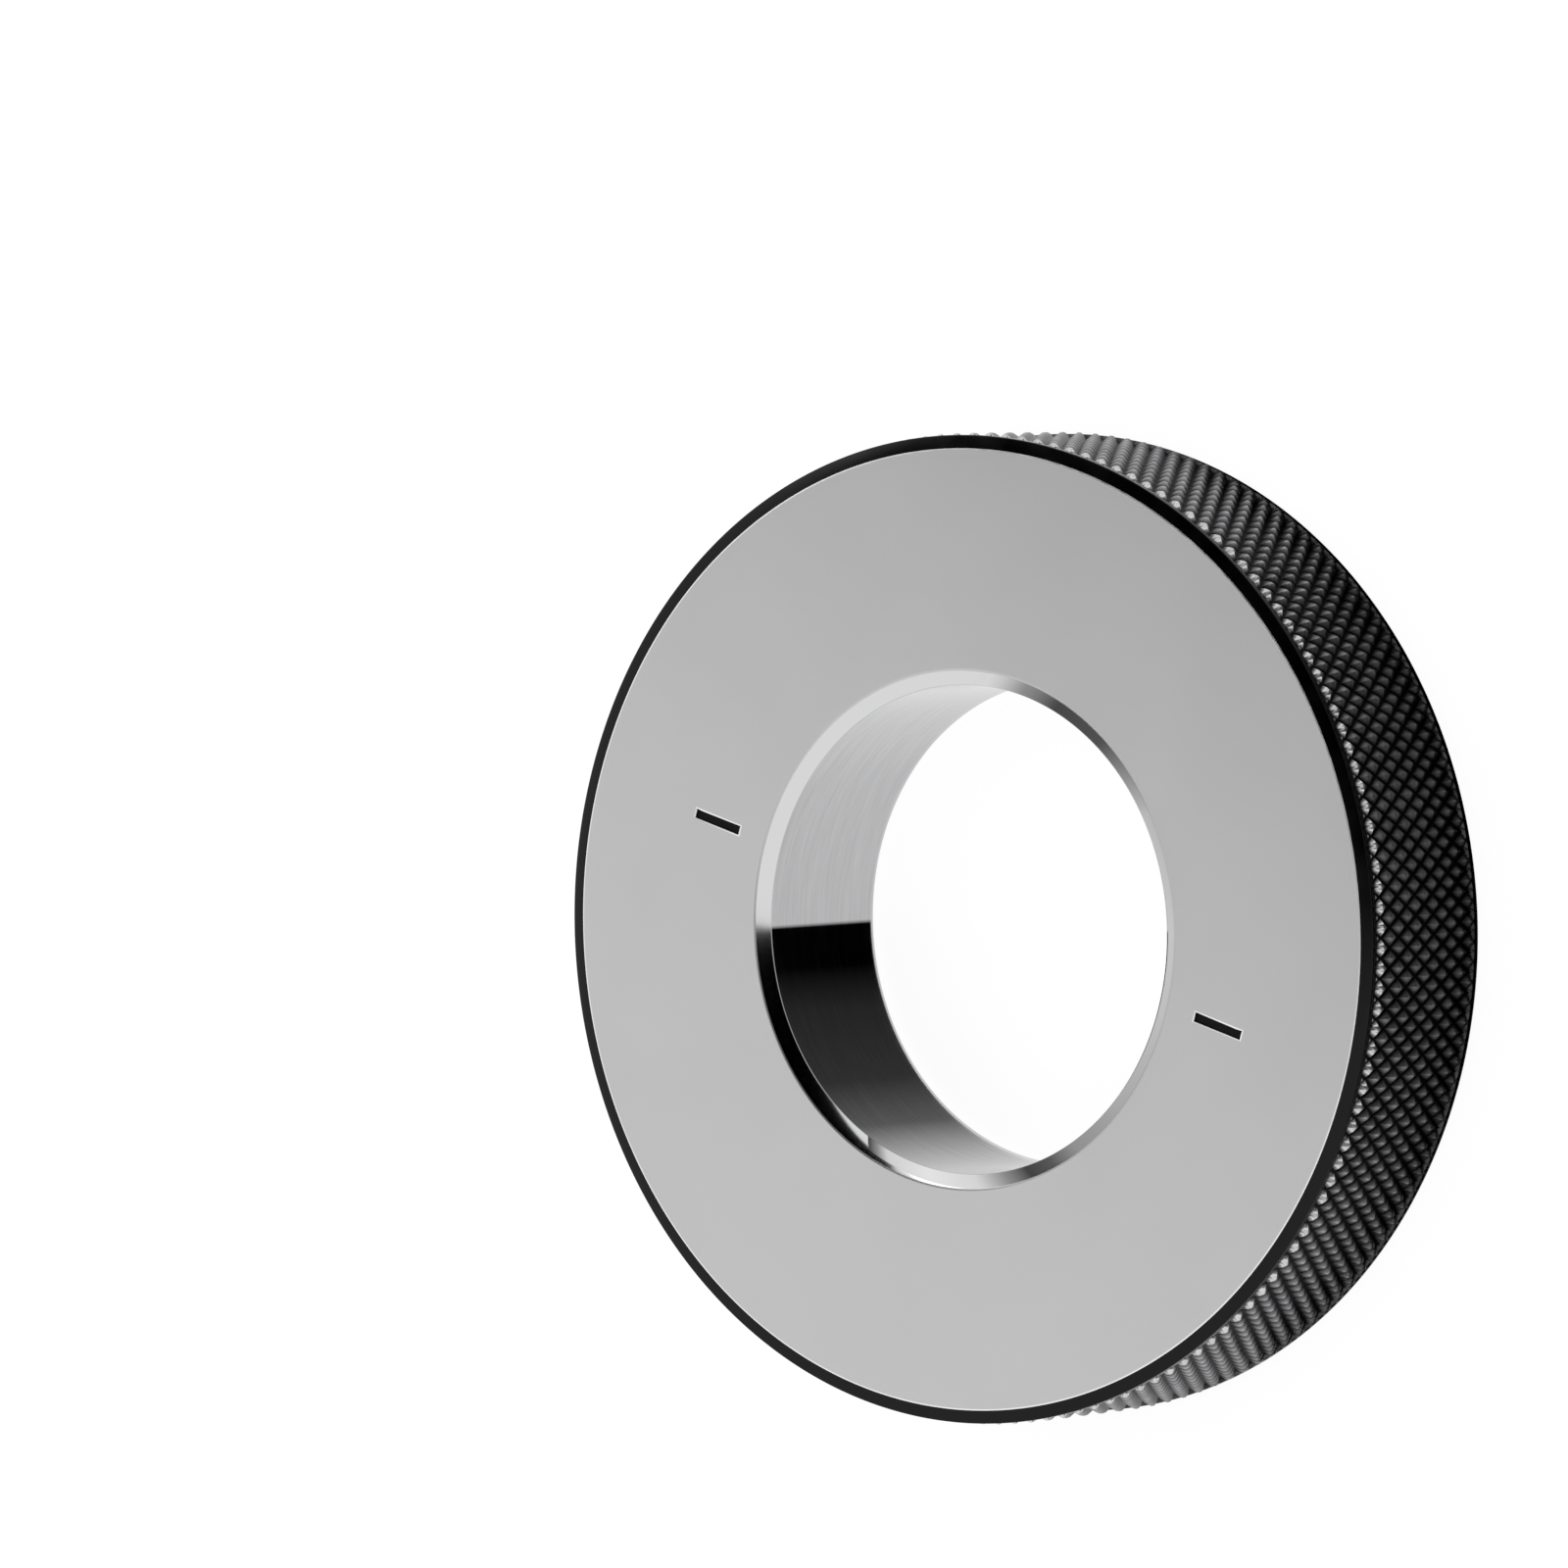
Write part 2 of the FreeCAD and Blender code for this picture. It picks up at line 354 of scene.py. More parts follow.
# The first tips are partly burnished and partly a painted highlight over this span of height
# and down to this share of the depth
burnish_and_glint_span, burnish_and_glint_depth = (-0.12, 0.45), 0.8
depth_layer = ring.verts.layers.float.new("groove_depth")
for vert in ring.verts:
    sunk = (rim_radius - math.hypot(vert.co.x, vert.co.y)) / knurl_depth
    past_tips = vert.co.z - first_tips
    if not land_height < vert.co.z < thickness - land_height:
        vert[depth_layer] = land_value
    elif sunk < burnish_and_glint_depth and burnish_and_glint_span[0] < past_tips < burnish_and_glint_span[1]:
        vert[depth_layer] = 0
    else:
        vert[depth_layer] = tip_value + (1 - tip_value) * sunk
print("burnished points:", sum(1 for v in ring.verts if v[depth_layer] == 0))

# %% [markdown]
# ## Helpers for materials
# Colours are written as the sRGB hex values that a colour picker shows, and one function turns
# them into the linear values that the renderer mixes. Another adds a node, sets its values and
# links its inputs, and a third starts a material, so each one below reads as a short recipe.

# %% Colour and node helpers
def linear(hex_colour):
    """An sRGB hex colour as linear RGBA."""
    channels = [int(hex_colour[i:i + 2], 16) / 255 for i in (1, 3, 5)]
    return [c / 12.92 if c <= 0.04045 else ((c + 0.055) / 1.055) ** 2.4 for c in channels] + [1]


def add_node(tree, kind, links=None, inputs=None, **settings):
    """A node with its settings, input values and links from other sockets."""
    node = tree.nodes.new(kind)
    for name, value in settings.items():
        setattr(node, name, value)
    for name, value in (inputs or {}).items():
        node.inputs[name].default_value = value
    for name, socket in (links or {}).items():
        tree.links.new(socket, node.inputs[name])
    return node


def new_material(name, **surface):
    """A material with one Principled shader, its tree and that shader."""
    material = bpy.data.materials.new(name)
    material.use_nodes = True
    shader = material.node_tree.nodes["Principled BSDF"]
    for socket, value in surface.items():
        shader.inputs[socket.replace("_", " ")].default_value = value
    return material, material.node_tree, shader


print("a mid grey of #808080 is %.3f in linear light" % linear("#808080")[0])

# %% [markdown]
# ## Ground steel
# The end faces are ground flat and fine-finished, so the steel is bright but reflects as
# satin, not as a mirror. The grinding leaves a very fine grain. Real scratches are a few
# micrometres wide, far below a pixel, so the grain is drawn at 0.12 mm and kept very shallow,
# and a slower cloud changes the roughness a little, as handling and oil do.

# %% Ground steel
def ground_steel():
    """Satin ground faces: bright steel with a fine grain."""
    material, tree, shader = new_material(
        "ground_steel", Base_Color=linear("#C6C5C5"), Metallic=1.0)
    place = add_node(tree, "ShaderNodeTexCoord").outputs["Object"]
    cloud = add_node(tree, "ShaderNodeTexNoise", {"Vector": place},
                     {"Scale": 1 / (9 * MM), "Detail": 2.0})
    rough = add_node(tree, "ShaderNodeMapRange", {"Value": cloud.outputs["Fac"]},
                     {"From Min": 0.1, "From Max": 0.9, "To Min": 0.28, "To Max": 0.34})
    tree.links.new(rough.outputs["Result"], shader.inputs["Roughness"])
    grain = add_node(tree, "ShaderNodeTexNoise", {"Vector": place},
                     {"Scale": 1 / (0.12 * MM), "Detail": 1.0})
    bump = add_node(tree, "ShaderNodeBump", {"Height": grain.outputs["Fac"]},
                    {"Strength": 0.25, "Distance": 0.002 * MM})
    tree.links.new(bump.outputs["Normal"], shader.inputs["Normal"])
    return material


print("made", ground_steel().name)

# %% [markdown]
# ## Lapped bore
# A lap turns inside the bore with fine abrasive, and its marks run round the wall. They spread
# each reflection along the axis, so the wall shows soft streaks that follow the curve. The
# marks are noise squeezed along the axis: long round the bore and a fraction of a millimetre
# high, which is coarser than the real marks, so that they show at all.

# %% Lapped bore
def lapped_bore():
    """The gauging bore: bright steel with fine marks round it."""
    material, tree, shader = new_material("lapped_bore", Metallic=1.0)
    place = add_node(tree, "ShaderNodeTexCoord").outputs["Object"]
    squeeze = add_node(tree, "ShaderNodeMapping", {"Vector": place},
                       {"Scale": (1 / (5 * MM), 1 / (5 * MM), 1 / (0.22 * MM))})
    marks = add_node(tree, "ShaderNodeTexNoise", {"Vector": squeeze.outputs["Vector"]},
                     {"Scale": 1.0, "Detail": 3.0, "Roughness": 0.6})
    rough = add_node(tree, "ShaderNodeMapRange", {"Value": marks.outputs["Fac"]},
                     {"From Min": 0.3, "From Max": 0.7, "To Min": 0.12, "To Max": 0.24})
    tree.links.new(rough.outputs["Result"], shader.inputs["Roughness"])
    colour = add_node(tree, "ShaderNodeMix", {"Factor": marks.outputs["Fac"]}, data_type="RGBA")
    colour.inputs["A"].default_value = linear("#B0B0B2")
    colour.inputs["B"].default_value = linear("#D0D0D1")
    tree.links.new(colour.outputs["Result"], shader.inputs["Base Color"])
    bump = add_node(tree, "ShaderNodeBump", {"Height": marks.outputs["Fac"]},
                    {"Strength": 0.35, "Distance": 0.004 * MM})
    tree.links.new(bump.outputs["Normal"], shader.inputs["Normal"])
    return material


print("made", lapped_bore().name)

# %% [markdown]
# ## Turned bevel
# The bevels at both mouths are turned with a sharp tool and then stoned. They are smoother
# than the faces, so they show the lights as clear light and dark bands.

# %% Turned bevel
def turned_bevel():
    """The lead-in bevels: the smoothest steel on the ring."""
    material, tree, shader = new_material(
        "turned_bevel", Base_Color=linear("#D6D6D7"), Metallic=1.0, Roughness=0.1)
    place = add_node(tree, "ShaderNodeTexCoord").outputs["Object"]
    squeeze = add_node(tree, "ShaderNodeMapping", {"Vector": place},
                       {"Scale": (1 / (8 * MM), 1 / (8 * MM), 1 / (0.15 * MM))})
    marks = add_node(tree, "ShaderNodeTexNoise", {"Vector": squeeze.outputs["Vector"]},
                     {"Scale": 1.0, "Detail": 2.0})
    bump = add_node(tree, "ShaderNodeBump", {"Height": marks.outputs["Fac"]},
                    {"Strength": 0.3, "Distance": 0.003 * MM})
    tree.links.new(bump.outputs["Normal"], shader.inputs["Normal"])
    return material


print("made", turned_bevel().name)

# %% [markdown]
# ## Stoned edge, with a painted highlight
# A fine stone takes the burr off the edges of the ground faces and of the dashes. The metal
# there is fresh, and its colour is set brighter than steel can be, so the thin light line it
# draws is partly a painted highlight.

# %% Stoned edge with a painted highlight
def stoned_edge_highlight():
    """Fresh metal on the stoned edges, brighter than steel: partly a painted highlight."""
    material, tree, shader = new_material(
        "stoned_edge_highlight", Base_Color=linear("#F0F0EF"), Metallic=1.0)
    place = add_node(tree, "ShaderNodeTexCoord").outputs["Object"]
    strokes = add_node(tree, "ShaderNodeTexNoise", {"Vector": place},
                       {"Scale": 1 / (0.8 * MM), "Detail": 2.0})
    rough = add_node(tree, "ShaderNodeMapRange", {"Value": strokes.outputs["Fac"]},
                     {"From Min": 0.3, "From Max": 0.7, "To Min": 0.28, "To Max": 0.4})
    tree.links.new(rough.outputs["Result"], shader.inputs["Roughness"])
    return material


print("made", stoned_edge_highlight().name)

# %% [markdown]
# ## Black oxide
# The rim is blackened in a hot salt bath, which turns the skin of the steel into a dark oxide
# a thousandth of a millimetre thick. It stays as smooth as the steel below and has almost no
# colour of its own: on the turned chamfers and lands it is a dark, semi-gloss mirror that goes
# grey only where it faces a light. The etched skin has a grain far finer than a pixel, which is
# drawn at 0.1 mm so that it shows at all.

# %% Black oxide
def oxide_grain(tree, place):
    """The fine grain of the etched skin, as a bump node."""
    grain = add_node(tree, "ShaderNodeTexNoise", {"Vector": place},
                     {"Scale": 1 / (0.1 * MM), "Detail": 1.0})
    return add_node(tree, "ShaderNodeBump", {"Height": grain.outputs["Fac"]},
                    {"Strength": 0.3, "Distance": 0.004 * MM})


def black_oxide():
    """The blackened chamfers and lands: a thin dark oxide on turned steel."""
    material, tree, shader = new_material(
        "black_oxide", Base_Color=linear("#242425"), Metallic=1.0)
    place = add_node(tree, "ShaderNodeTexCoord").outputs["Object"]
    stains = add_node(tree, "ShaderNodeTexNoise", {"Vector": place},
                      {"Scale": 1 / (2.5 * MM), "Detail": 2.0})
    rough = add_node(tree, "ShaderNodeMapRange", {"Value": stains.outputs["Fac"]},
                     {"From Min": 0.3, "From Max": 0.7, "To Min": 0.17, "To Max": 0.27})
    tree.links.new(rough.outputs["Result"], shader.inputs["Roughness"])
    tree.links.new(oxide_grain(tree, place).outputs["Normal"], shader.inputs["Normal"])
    return material


print("made", black_oxide().name)

# %% [markdown]
# ## Worn knurl and painted shade
# The knurl is blackened too, but fingers polish its crests back to grey steel and leave the
# grooves black. That black is partly painted shade, for the shade down between the teeth, and
# the brightest first tips are partly a painted highlight. The colour follows the depth that the
# mesh carries, with a slow noise on top, because no two teeth wear alike. The flanks keep the
# texture that the knurling wheel pressed into them, so they are rougher than the turned bands.

# %% Worn knurl and painted shade
# The colour at each depth value, from the crests down to the grooves, whose black is partly
# painted shade
knurl_wear_and_shade_colours = [(0.05, "#D2D2D2"), (0.12, "#B4B4B6"), (0.3, "#8A8A8C"), (0.55, "#626264"),
                 (0.85, "#0A0A0B")]


def knurl_wear_and_painted_shade():
    """The knurl: grey on the crests, and black oxide and painted shade down in the grooves."""
    material, tree, shader = new_material("knurl_wear_and_painted_shade", Metallic=1.0)
    place = add_node(tree, "ShaderNodeTexCoord").outputs["Object"]
    depth = add_node(tree, "ShaderNodeAttribute", attribute_name="groove_depth")
    wear = add_node(tree, "ShaderNodeTexNoise", {"Vector": place},
                    {"Scale": 1 / (1.7 * MM), "Detail": 3.0})
    uneven = add_node(tree, "ShaderNodeMapRange", {"Value": wear.outputs["Fac"]},
                      {"From Min": 0.35, "From Max": 0.65, "To Min": -0.02, "To Max": 0.08})
    shifted = add_node(tree, "ShaderNodeMath", {0: depth.outputs["Fac"],
                                                1: uneven.outputs["Result"]}, operation="ADD")
    colour = add_node(tree, "ShaderNodeValToRGB", {"Fac": shifted.outputs["Value"]})
    stops = colour.color_ramp.elements
    while len(stops) < len(knurl_wear_and_shade_colours):
        stops.new(0.5)
    for stop, (position, hex_colour) in zip(stops, knurl_wear_and_shade_colours):
        stop.position = position
        stop.color = linear(hex_colour)
    tree.links.new(colour.outputs["Color"], shader.inputs["Base Color"])
    rough = add_node(tree, "ShaderNodeMapRange", {"Value": shifted.outputs["Value"]},
                     {"From Min": 0.0, "From Max": 0.5, "To Min": 0.28, "To Max": 0.34})
    tree.links.new(rough.outputs["Result"], shader.inputs["Roughness"])
    tree.links.new(oxide_grain(tree, place).outputs["Normal"], shader.inputs["Normal"])
    return material


print("made", knurl_wear_and_painted_shade().name)

# %% [markdown]
# ## Black fill
# The dashes are filled with a hard black lacquer that is wiped off flush and dries nearly
# matt. Its surface is slightly uneven, where the rag has pulled at it.

# %% Black fill
def black_fill():
    """Lacquer in the engraved dashes: deep black and nearly matt."""
    material, tree, shader = new_material(
        "black_fill", Base_Color=linear("#060606"), Roughness=0.6, Specular_IOR_Level=0.15)
    place = add_node(tree, "ShaderNodeTexCoord").outputs["Object"]
    wiped = add_node(tree, "ShaderNodeTexNoise", {"Vector": place},
                     {"Scale": 1 / (0.4 * MM), "Detail": 2.0})
    bump = add_node(tree, "ShaderNodeBump", {"Height": wiped.outputs["Fac"]},
                    {"Strength": 0.4, "Distance": 0.02 * MM})
    tree.links.new(bump.outputs["Normal"], shader.inputs["Normal"])
    return material


print("made", black_fill().name)

# %% [markdown]
# ## The finished ring
# The bmesh becomes one object in metres. It is shaded smooth, with hard edges kept where two
# faces meet at a clear angle and all round the flat faces, which then stay truly flat. A
# weighted-normal modifier lets the large faces rule the shading elsewhere, so that the tiny
# edge breaks catch light without bending the reflections beside them.

# %% Make the object
hard_angle = math.radians(40)
level_normal = 0.9999
ring.normal_update()
ring.edges.index_update()
flat = {face for face in ring.faces if abs(face.normal.z) > level_normal}
flat_borders = [edge.index for edge in ring.edges if len(flat.intersection(edge.link_faces)) == 1]
for face in ring.faces:
    face.smooth = True
bmesh.ops.scale(ring, vec=(MM, MM, MM), verts=ring.verts)
mesh = bpy.data.meshes.new("gauge_ring_dressed")
ring.to_mesh(mesh)
ring.free()
mesh.set_sharp_from_angle(angle=hard_angle)
for index in flat_borders:
    mesh.edges[index].use_edge_sharp = True
for finish in FINISHES:
    mesh.materials.append(bpy.data.materials[finish])
gauge = bpy.data.objects.new("gauge_ring_dressed", mesh)
bpy.context.scene.collection.objects.link(gauge)
weighted = gauge.modifiers.new("weighted_normals", "WEIGHTED_NORMAL")
weighted.keep_sharp = True
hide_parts("gauge_ring")
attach(gauge, "root")
mesh.calc_loop_triangles()
print("triangles:", len(mesh.loop_triangles))

# %% [markdown]
# ## The camera
# The ring lies flat on a table and is seen from high on one side with a long lens, which keeps
# the ellipses of its face and bore nearly parallel. The camera's turn and the place of the
# front face in its view were fitted to the outlines of the face, bore and dashes.

# %% Camera
camera_turn = Matrix.Identity(3)
for axis, degrees in (("Z", 16.692), ("Y", 37.137), ("X", -2.167)):
    camera_turn = camera_turn @ Matrix.Rotation(math.radians(degrees), 3, axis)
face_in_view = Vector((12.69, -10.42, -800.0))
face_centre = Vector((0, 0, thickness))
camera_data = bpy.data.cameras.new("camera")
camera_data.lens = 257.08
camera_data.sensor_width = 36
camera = bpy.data.objects.new("camera", camera_data)
bpy.context.scene.collection.objects.link(camera)
camera_place = (face_centre - camera_turn @ face_in_view) * MM
camera.matrix_world = Matrix.Translation(camera_place) @ camera_turn.to_4x4()
bpy.context.scene.camera = camera
print("camera at (mm):", [round(value / MM, 1) for value in camera_place])

# %% [markdown]
# ## Directions of the set
# The lights and cards are placed in the picture's own directions: right along the table, up
# along the table, and up off the table. The dashes lie at 18 degrees to the picture, so the
# ring's own X and Y are turned by that much.

# %% Directions
dash_turn = math.radians(18)
to_right = Vector((math.cos(dash_turn), math.sin(dash_turn), 0))
to_top = Vector((-math.sin(dash_turn), math.cos(dash_turn), 0))
off_table = Vector((0, 0, 1))


def place_at(right, top, height):
    """A point in metres, from picture directions in millimetres about the ring's axis."""
    return (to_right * right + to_top * top + off_table * height) * MM


print("picture right is", [round(value, 3) for value in to_right])

# %% [markdown]
# ## White table and even light
# Polished steel shows its surroundings, so the set is a white table under an even white sky,
# like a light tent. The table is a diffuse surface, which keeps the ring's soft shadow, and
# light of its own fills it up to white for the camera and for reflections.

# %% Table and sky
table_half, table_fill = 1.5, 0.9


def white_table():
    """The table's surface: diffuse paper, filled up to white."""
    material = bpy.data.materials.new("white_table")
    material.use_nodes = True
    tree = material.node_tree
    tree.nodes.clear()
    ray = add_node(tree, "ShaderNodeLightPath")
    seen = ray.outputs["Is Camera Ray"]
    for kind in ("Is Glossy Ray", "Is Transmission Ray"):
        seen = add_node(tree, "ShaderNodeMath", {0: seen, 1: ray.outputs[kind]},
                        operation="ADD").outputs["Value"]
    share = add_node(tree, "ShaderNodeMath", {0: seen}, {1: table_fill}, operation="MULTIPLY",
                     use_clamp=True)
    paper = add_node(tree, "ShaderNodeBsdfDiffuse", inputs={"Color": linear("#6A6A6A")})
    fill = add_node(tree, "ShaderNodeEmission", {"Strength": share.outputs["Value"]})
    both = add_node(tree, "ShaderNodeAddShader", {0: paper.outputs["BSDF"],
                                                  1: fill.outputs["Emission"]})
    add_node(tree, "ShaderNodeOutputMaterial", {"Surface": both.outputs["Shader"]})
    return material


def put_on_stage(name, bm, material):
    """A bmesh as an object of the set, which is no part of the ring."""
    card_mesh = bpy.data.meshes.new(name)
    bm.to_mesh(card_mesh)
    bm.free()
    card_mesh.materials.append(material)
    card = bpy.data.objects.new(name, card_mesh)
    bpy.context.scene.collection.objects.link(card)
    return card


def flat_card(name, middle, turn, width, depth, material):
    """A flat card of the set: a grid of one face, turned and moved into place."""
    bm = bmesh.new()
    bmesh.ops.create_grid(bm, x_segments=1, y_segments=1, size=0.5)
    bmesh.ops.scale(bm, vec=(width, depth, 1), verts=bm.verts)
    bmesh.ops.rotate(bm, cent=(0, 0, 0), matrix=turn, verts=bm.verts)
    bmesh.ops.translate(bm, vec=middle, verts=bm.verts)
    return put_on_stage(name, bm, material)


picture_turn = Matrix.Rotation(dash_turn, 3, "Z")
flat_card("table", Vector((0, 0, 0)), picture_turn, 2 * table_half, 2 * table_half,
          white_table())
sky = bpy.data.worlds.new("sky")
sky.use_nodes = True
background = sky.node_tree.nodes["Background"]
background.inputs["Color"].default_value = linear("#FFFFFF")
background.inputs["Strength"].default_value = 1.0
bpy.context.scene.world = sky
print("table is %.1f m wide" % (2 * table_half))

# %% [markdown]
# ## Cards for the reflections
# In an all-white tent polished steel looks like white paper. A product photographer sets black
# cards beside it, and their reflections give the metal its dark, crisp edges. A card here is a
# mesh that gives off as much light as it should look bright. Some fade from black to white, as
# a card does that is sprayed at one end: a ramp reads the place along one direction.

# %% Card material
def card_material(name, brightness=1.0, along=None, stops=()):
    """A card of one brightness, or graded by (place in mm, brightness) along a direction."""
    material = bpy.data.materials.new(name)
    material.use_nodes = True
    tree = material.node_tree
    tree.nodes.clear()
    glow = add_node(tree, "ShaderNodeEmission", inputs={"Strength": brightness})
    if stops:
        first, last = stops[0][0], stops[-1][0]
        place = add_node(tree, "ShaderNodeTexCoord").outputs["Object"]
        distance = add_node(tree, "ShaderNodeVectorMath", {0: place}, {1: along},
                            operation="DOT_PRODUCT")
        share = add_node(tree, "ShaderNodeMapRange", {"Value": distance.outputs["Value"]},
                         {"From Min": first * MM, "From Max": last * MM})
        grade = add_node(tree, "ShaderNodeValToRGB", {"Fac": share.outputs["Result"]})
        elements = grade.color_ramp.elements
        while len(elements) < len(stops):
            elements.new(0.5)
        for element, (position, level) in zip(elements, stops):
            element.position = (position - first) / (last - first)
            element.color = (level, level, level, 1)
        tree.links.new(grade.outputs["Color"], glow.inputs["Color"])
    add_node(tree, "ShaderNodeOutputMaterial", {"Surface": glow.outputs["Emission"]})
    return material


black = card_material("black_card", 0.0)
print("made", black.name)

# %% [markdown]
# ## Shapes of the cards
# Flat cards lie level or stand upright, and round ones follow the ring. Only reflections see
# them: they cast no shadow, they don't light the table, and the camera looks through them.
# Each is given by its spans, so that one side of a card can be moved until its reflection ends
# where it should.

# %% Card shapes
card_steps = 128


def reflections_only(card):
    """Hide a card from everything but reflections."""
    card.visible_camera = False
    card.visible_diffuse = False
    card.visible_transmission = False
    card.visible_shadow = False
    return card


def level_card(name, right, top, height, material):
    """A level card over spans (from, to) in picture directions, in millimetres."""
    middle = place_at(sum(right) / 2, sum(top) / 2, height)
    return reflections_only(flat_card(name, middle, picture_turn, (right[1] - right[0]) * MM,
                                      (top[1] - top[0]) * MM, material))


def far_card(name, right, top, heights, material):
    """An upright card at a place to the right, over spans toward the top and in height."""
    middle = place_at(right, sum(top) / 2, sum(heights) / 2)
    upright = Matrix.Rotation(math.radians(90), 3, "Y")
    return reflections_only(flat_card(name, middle, picture_turn @ upright,
                                      (heights[1] - heights[0]) * MM,
                                      (top[1] - top[0]) * MM, material))


def round_card(name, start, end, azimuths, material):
    """A card spun about the ring's axis from a line between two (radius, height) points."""
    bm = bmesh.new()
    line = [bm.verts.new((radius * MM, 0, height * MM)) for radius, height in (start, end)]
    edge = bm.edges.new(line)
    first, last = (math.radians(azimuth) for azimuth in azimuths)
    full_turn = azimuths[1] - azimuths[0] == 360
    bmesh.ops.rotate(bm, verts=line, cent=(0, 0, 0), matrix=Matrix.Rotation(first, 3, "Z"))
    bmesh.ops.rotate(bm, verts=line, cent=(0, 0, 0), matrix=picture_turn)
    bmesh.ops.spin(bm, geom=line + [edge], cent=(0, 0, 0), axis=(0, 0, 1), angle=last - first,
                   steps=card_steps, use_merge=full_turn)
    return reflections_only(put_on_stage(name, bm, material))


print("a full round card has", card_steps, "faces")

# %% [markdown]
# ## Cards overhead and far off
# A bevel is a small tilted mirror. At the lower left of the picture it looks up at the card
# overhead and turns black, and at the upper left it looks past that card at the white sky, so
# the side of the card draws the sharp step between them. The chamfer sees the same card at the
# right. A second card beside it serves the chamfer at the top, and shades the face there a
# little, because satin steel blurs what it sees. Two upright cards far off at the left hardly
# show in this view, but seen from the left or from behind they give the rim something dark to
# reflect.

# %% Cards overhead and far off
overhead, far_off = 400, -600
level_card("card_overhead", (-190, 330), (-16, 370), overhead, black)
level_card("card_overhead_left", (-380, -190), (70, 330), overhead, black)
far_card("card_far_bottom", far_off, (230, 420), (60, 320), black)
far_card("card_far_top", far_off, (-553, -274), (50, 290), black)
print("cards %d mm overhead and %d mm to the left" % (overhead, -far_off))

# %% [markdown]
# ## Cards on the table
# Seen from above, the flanks of the knurl reflect the table beside the ring, not the room. One
# large card on it is black beside the right of the ring and white at the top and the bottom,
# where the knurl is light. Two narrow ones follow the foot of the ring: a black one is a painted
# shadow, the ring's contact shadow for the flanks that look almost straight down, and a graded
# one is a painted reflection that sets how bright the tips are in each part of the picture.

# %% Cards on the table
on_table, above_table = 0.05, 0.1
beside_along = to_top - 0.15 * to_right

# Each grade is a row of places in millimetres and the brightness there
beside_fade = [(-55, 1.0), (-45, 0.9), (-38, 0.75), (-32, 0.4), (-20, 0.12), (-8, 0.0), (31, 0.0),
               (36, 0.9)]
tip_reflection_fade = [(-42, 1.0), (-30, 0.5), (-15, 0.22), (0, 0.15), (26, 0.15), (36, 0.9)]
foot_start, foot_end, around_end = rim_radius + 0.1, 38.2, rim_radius + 12
level_card("card_beside", (0, 260), (-80, 120), on_table,
           card_material("beside_card", along=beside_along, stops=beside_fade))
# The black card round the foot is a painted contact shadow, and the graded one a painted reflection
# for the tips
round_card("card_painted_foot_shadow", (foot_start, above_table), (foot_end, above_table), (-62, 50), black)
round_card("card_painted_tip_reflection", (foot_end, above_table), (around_end, above_table), (-75, 62),
           card_material("painted_tip_reflection_grade", along=to_top, stops=tip_reflection_fade))
print("cards on the table reach %.1f mm from the axis round the foot" % around_end)

# %% [markdown]
# ## Painted reflections in the bore
# A bore reflects its own far wall, and what that shows depends on everything around. A round
# card just inside the wall stands before each point of it and paints its reflection directly:
# white in the upper half, black from the middle down, and fading to white again at the bottom.
# Two strips at its mouth paint the reflection of the bevel the same way, with light and dark
# streaks there.

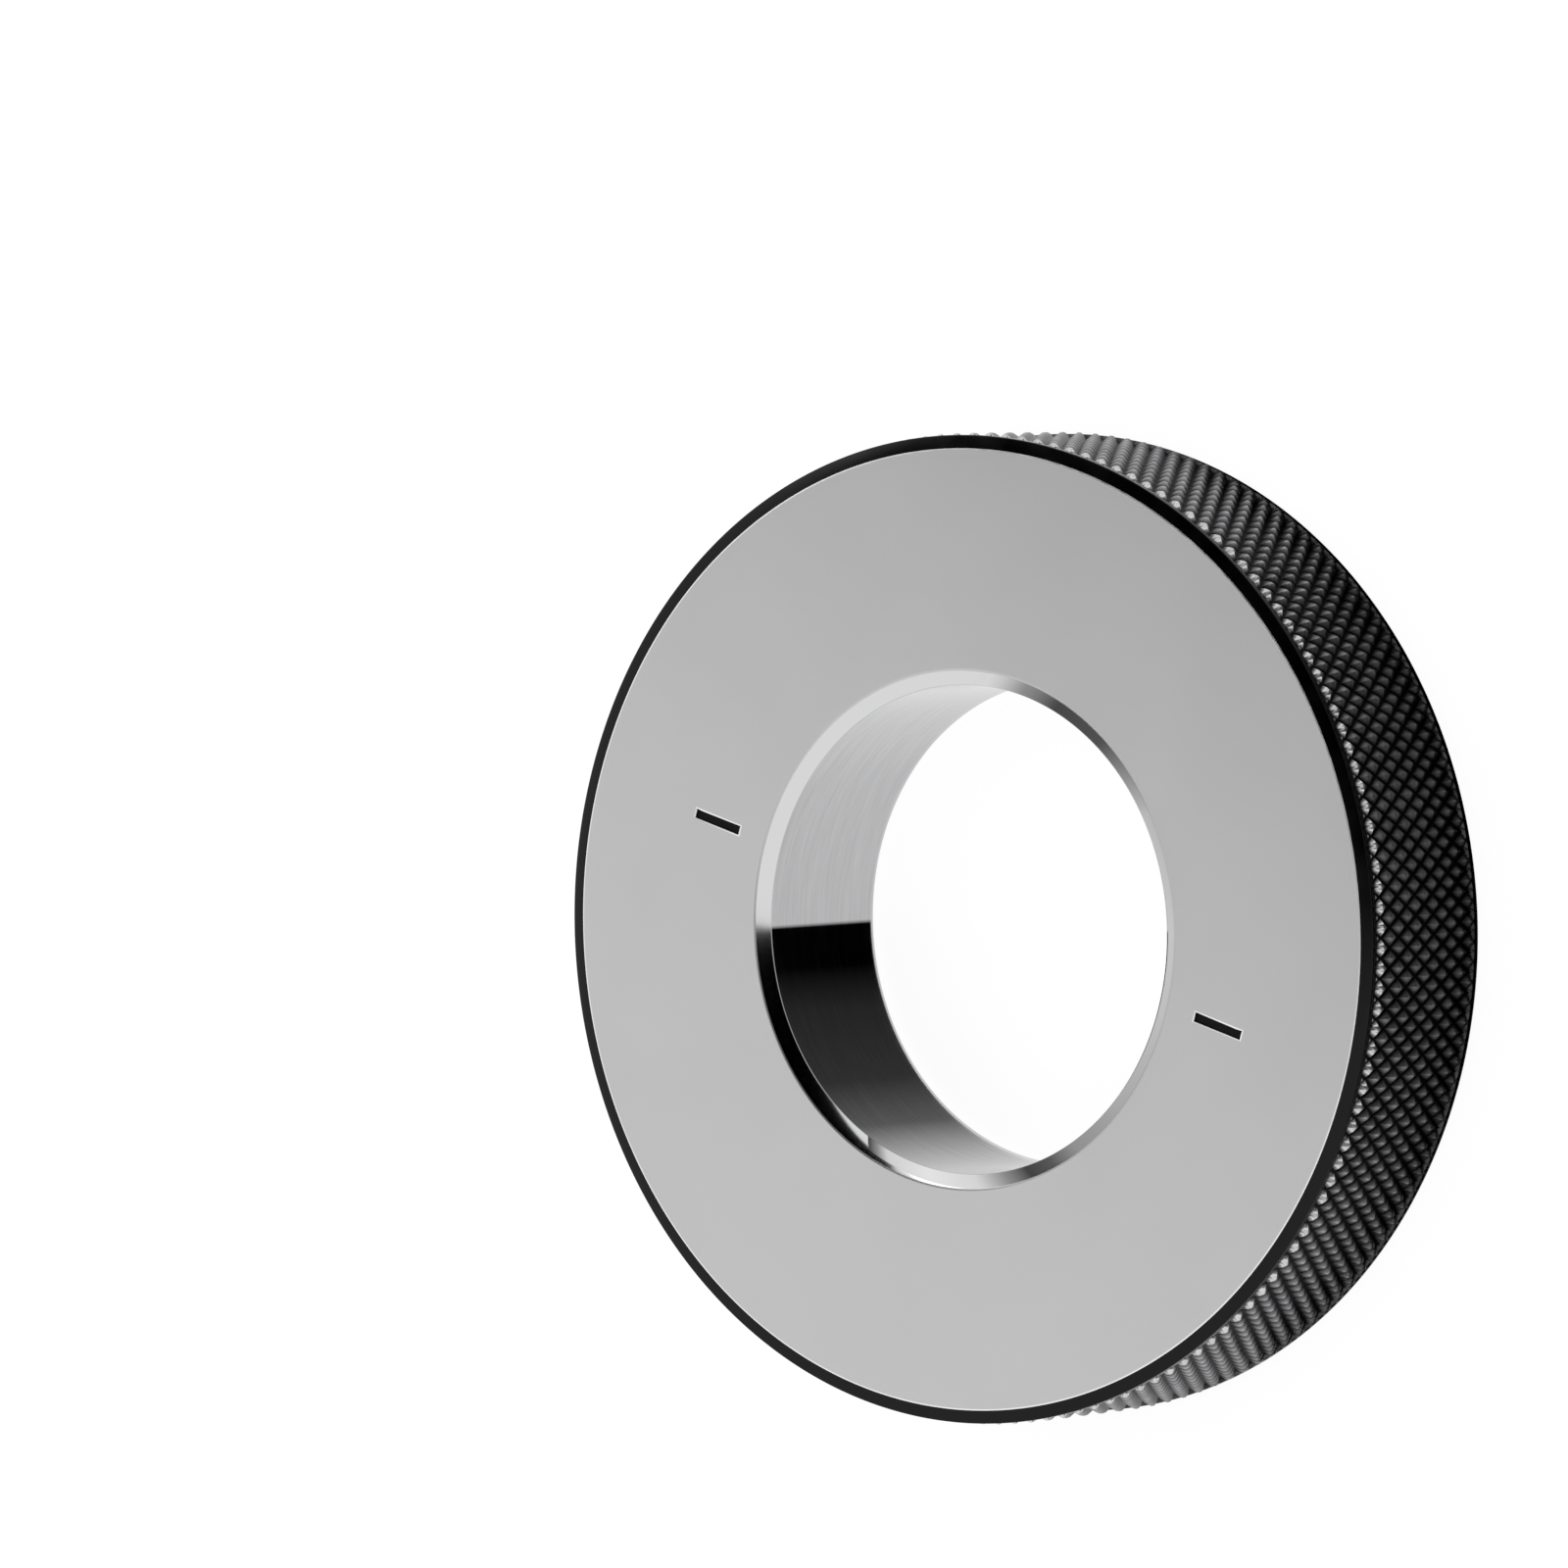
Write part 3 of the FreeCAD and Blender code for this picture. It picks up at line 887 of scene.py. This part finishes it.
# %% Painted reflections in the bore
# Each grade is a painted reflection: places in millimetres and the brightness there
bore_reflection_fade = [(-17.5, 0.9), (-16.0, 0.6), (-14.0, 0.16), (-11.0, 0.05), (-6.0, 0.03), (-3.0, 0.0),
             (-0.05, 0.0), (0.05, 0.84), (10.0, 0.86), (17.5, 1.0)]
mouth_low_reflection_fade = [(-9.2, 0.03), (-8.3, 0.35), (-7.5, 0.8), (-4.0, 0.95), (0.0, 0.8), (2.5, 0.3),
                  (4.5, 0.03), (6.5, 0.1), (8.6, 0.35)]
mouth_right_reflection_fade = [(-15.0, 0.35), (-12.0, 0.5), (-6.0, 0.65), (0.0, 0.7), (8.0, 0.6),
                    (11.0, 0.3), (13.0, 0.1), (15.5, 0.08), (16.6, 0.35), (17.2, 0.9)]
mouth_card_radius, bore_card_radius = bore_radius - 0.25, bore_radius - 0.2
mouth_card_top, mouth_brightness = thickness + 1.2, 1.15
mouth_line = [(mouth_card_radius, thickness - bevel_depth), (mouth_card_radius, mouth_card_top)]
bore_line = [(bore_card_radius, bevel_depth), (bore_card_radius, thickness - bevel_depth)]
round_card("card_painting_mouth_low_reflection", *mouth_line, (238, 300),
           card_material("mouth_low_reflection_paint", mouth_brightness, to_right, mouth_low_reflection_fade))
round_card("card_painting_mouth_right_reflection", *mouth_line, (-60, 85),
           card_material("mouth_right_reflection_paint", mouth_brightness, to_top, mouth_right_reflection_fade))
round_card("card_painting_bore_reflection", *bore_line, (0, 360),
           card_material("bore_reflection_paint", along=to_top, stops=bore_reflection_fade))

# %% [markdown]
# ## A soft lamp
# One large soft lamp stands off at the top left, 25 degrees above the table, like a window. It
# gives the ring a lit side and the knurl its small bright points. Its level is plain: a diffuse
# surface still renders about as its colour says.

# %% Lamp
def soft_lamp(name, place, target, size, radiance):
    """A square area lamp that looks at a point, set by how bright its face is."""
    lamp = bpy.data.lights.new(name, "AREA")
    lamp.size = size
    lamp.energy = radiance * math.pi * size * size
    holder = bpy.data.objects.new(name, lamp)
    bpy.context.scene.collection.objects.link(holder)
    aim = (target - place).to_track_quat("-Z", "Y")
    holder.matrix_world = Matrix.Translation(place) @ aim.to_matrix().to_4x4()
    holder.visible_camera = False
    return holder


window_place, window_size, window_radiance = place_at(-423, 445, 288), 0.42, 1.4
soft_lamp("window", window_place, place_at(0, 0, thickness), window_size, window_radiance)

# %% [markdown]
# ## Finish
# The view transform is set to Standard, so that the colours come out as written.

# %% Finish
bpy.context.scene.view_settings.view_transform = "Standard"
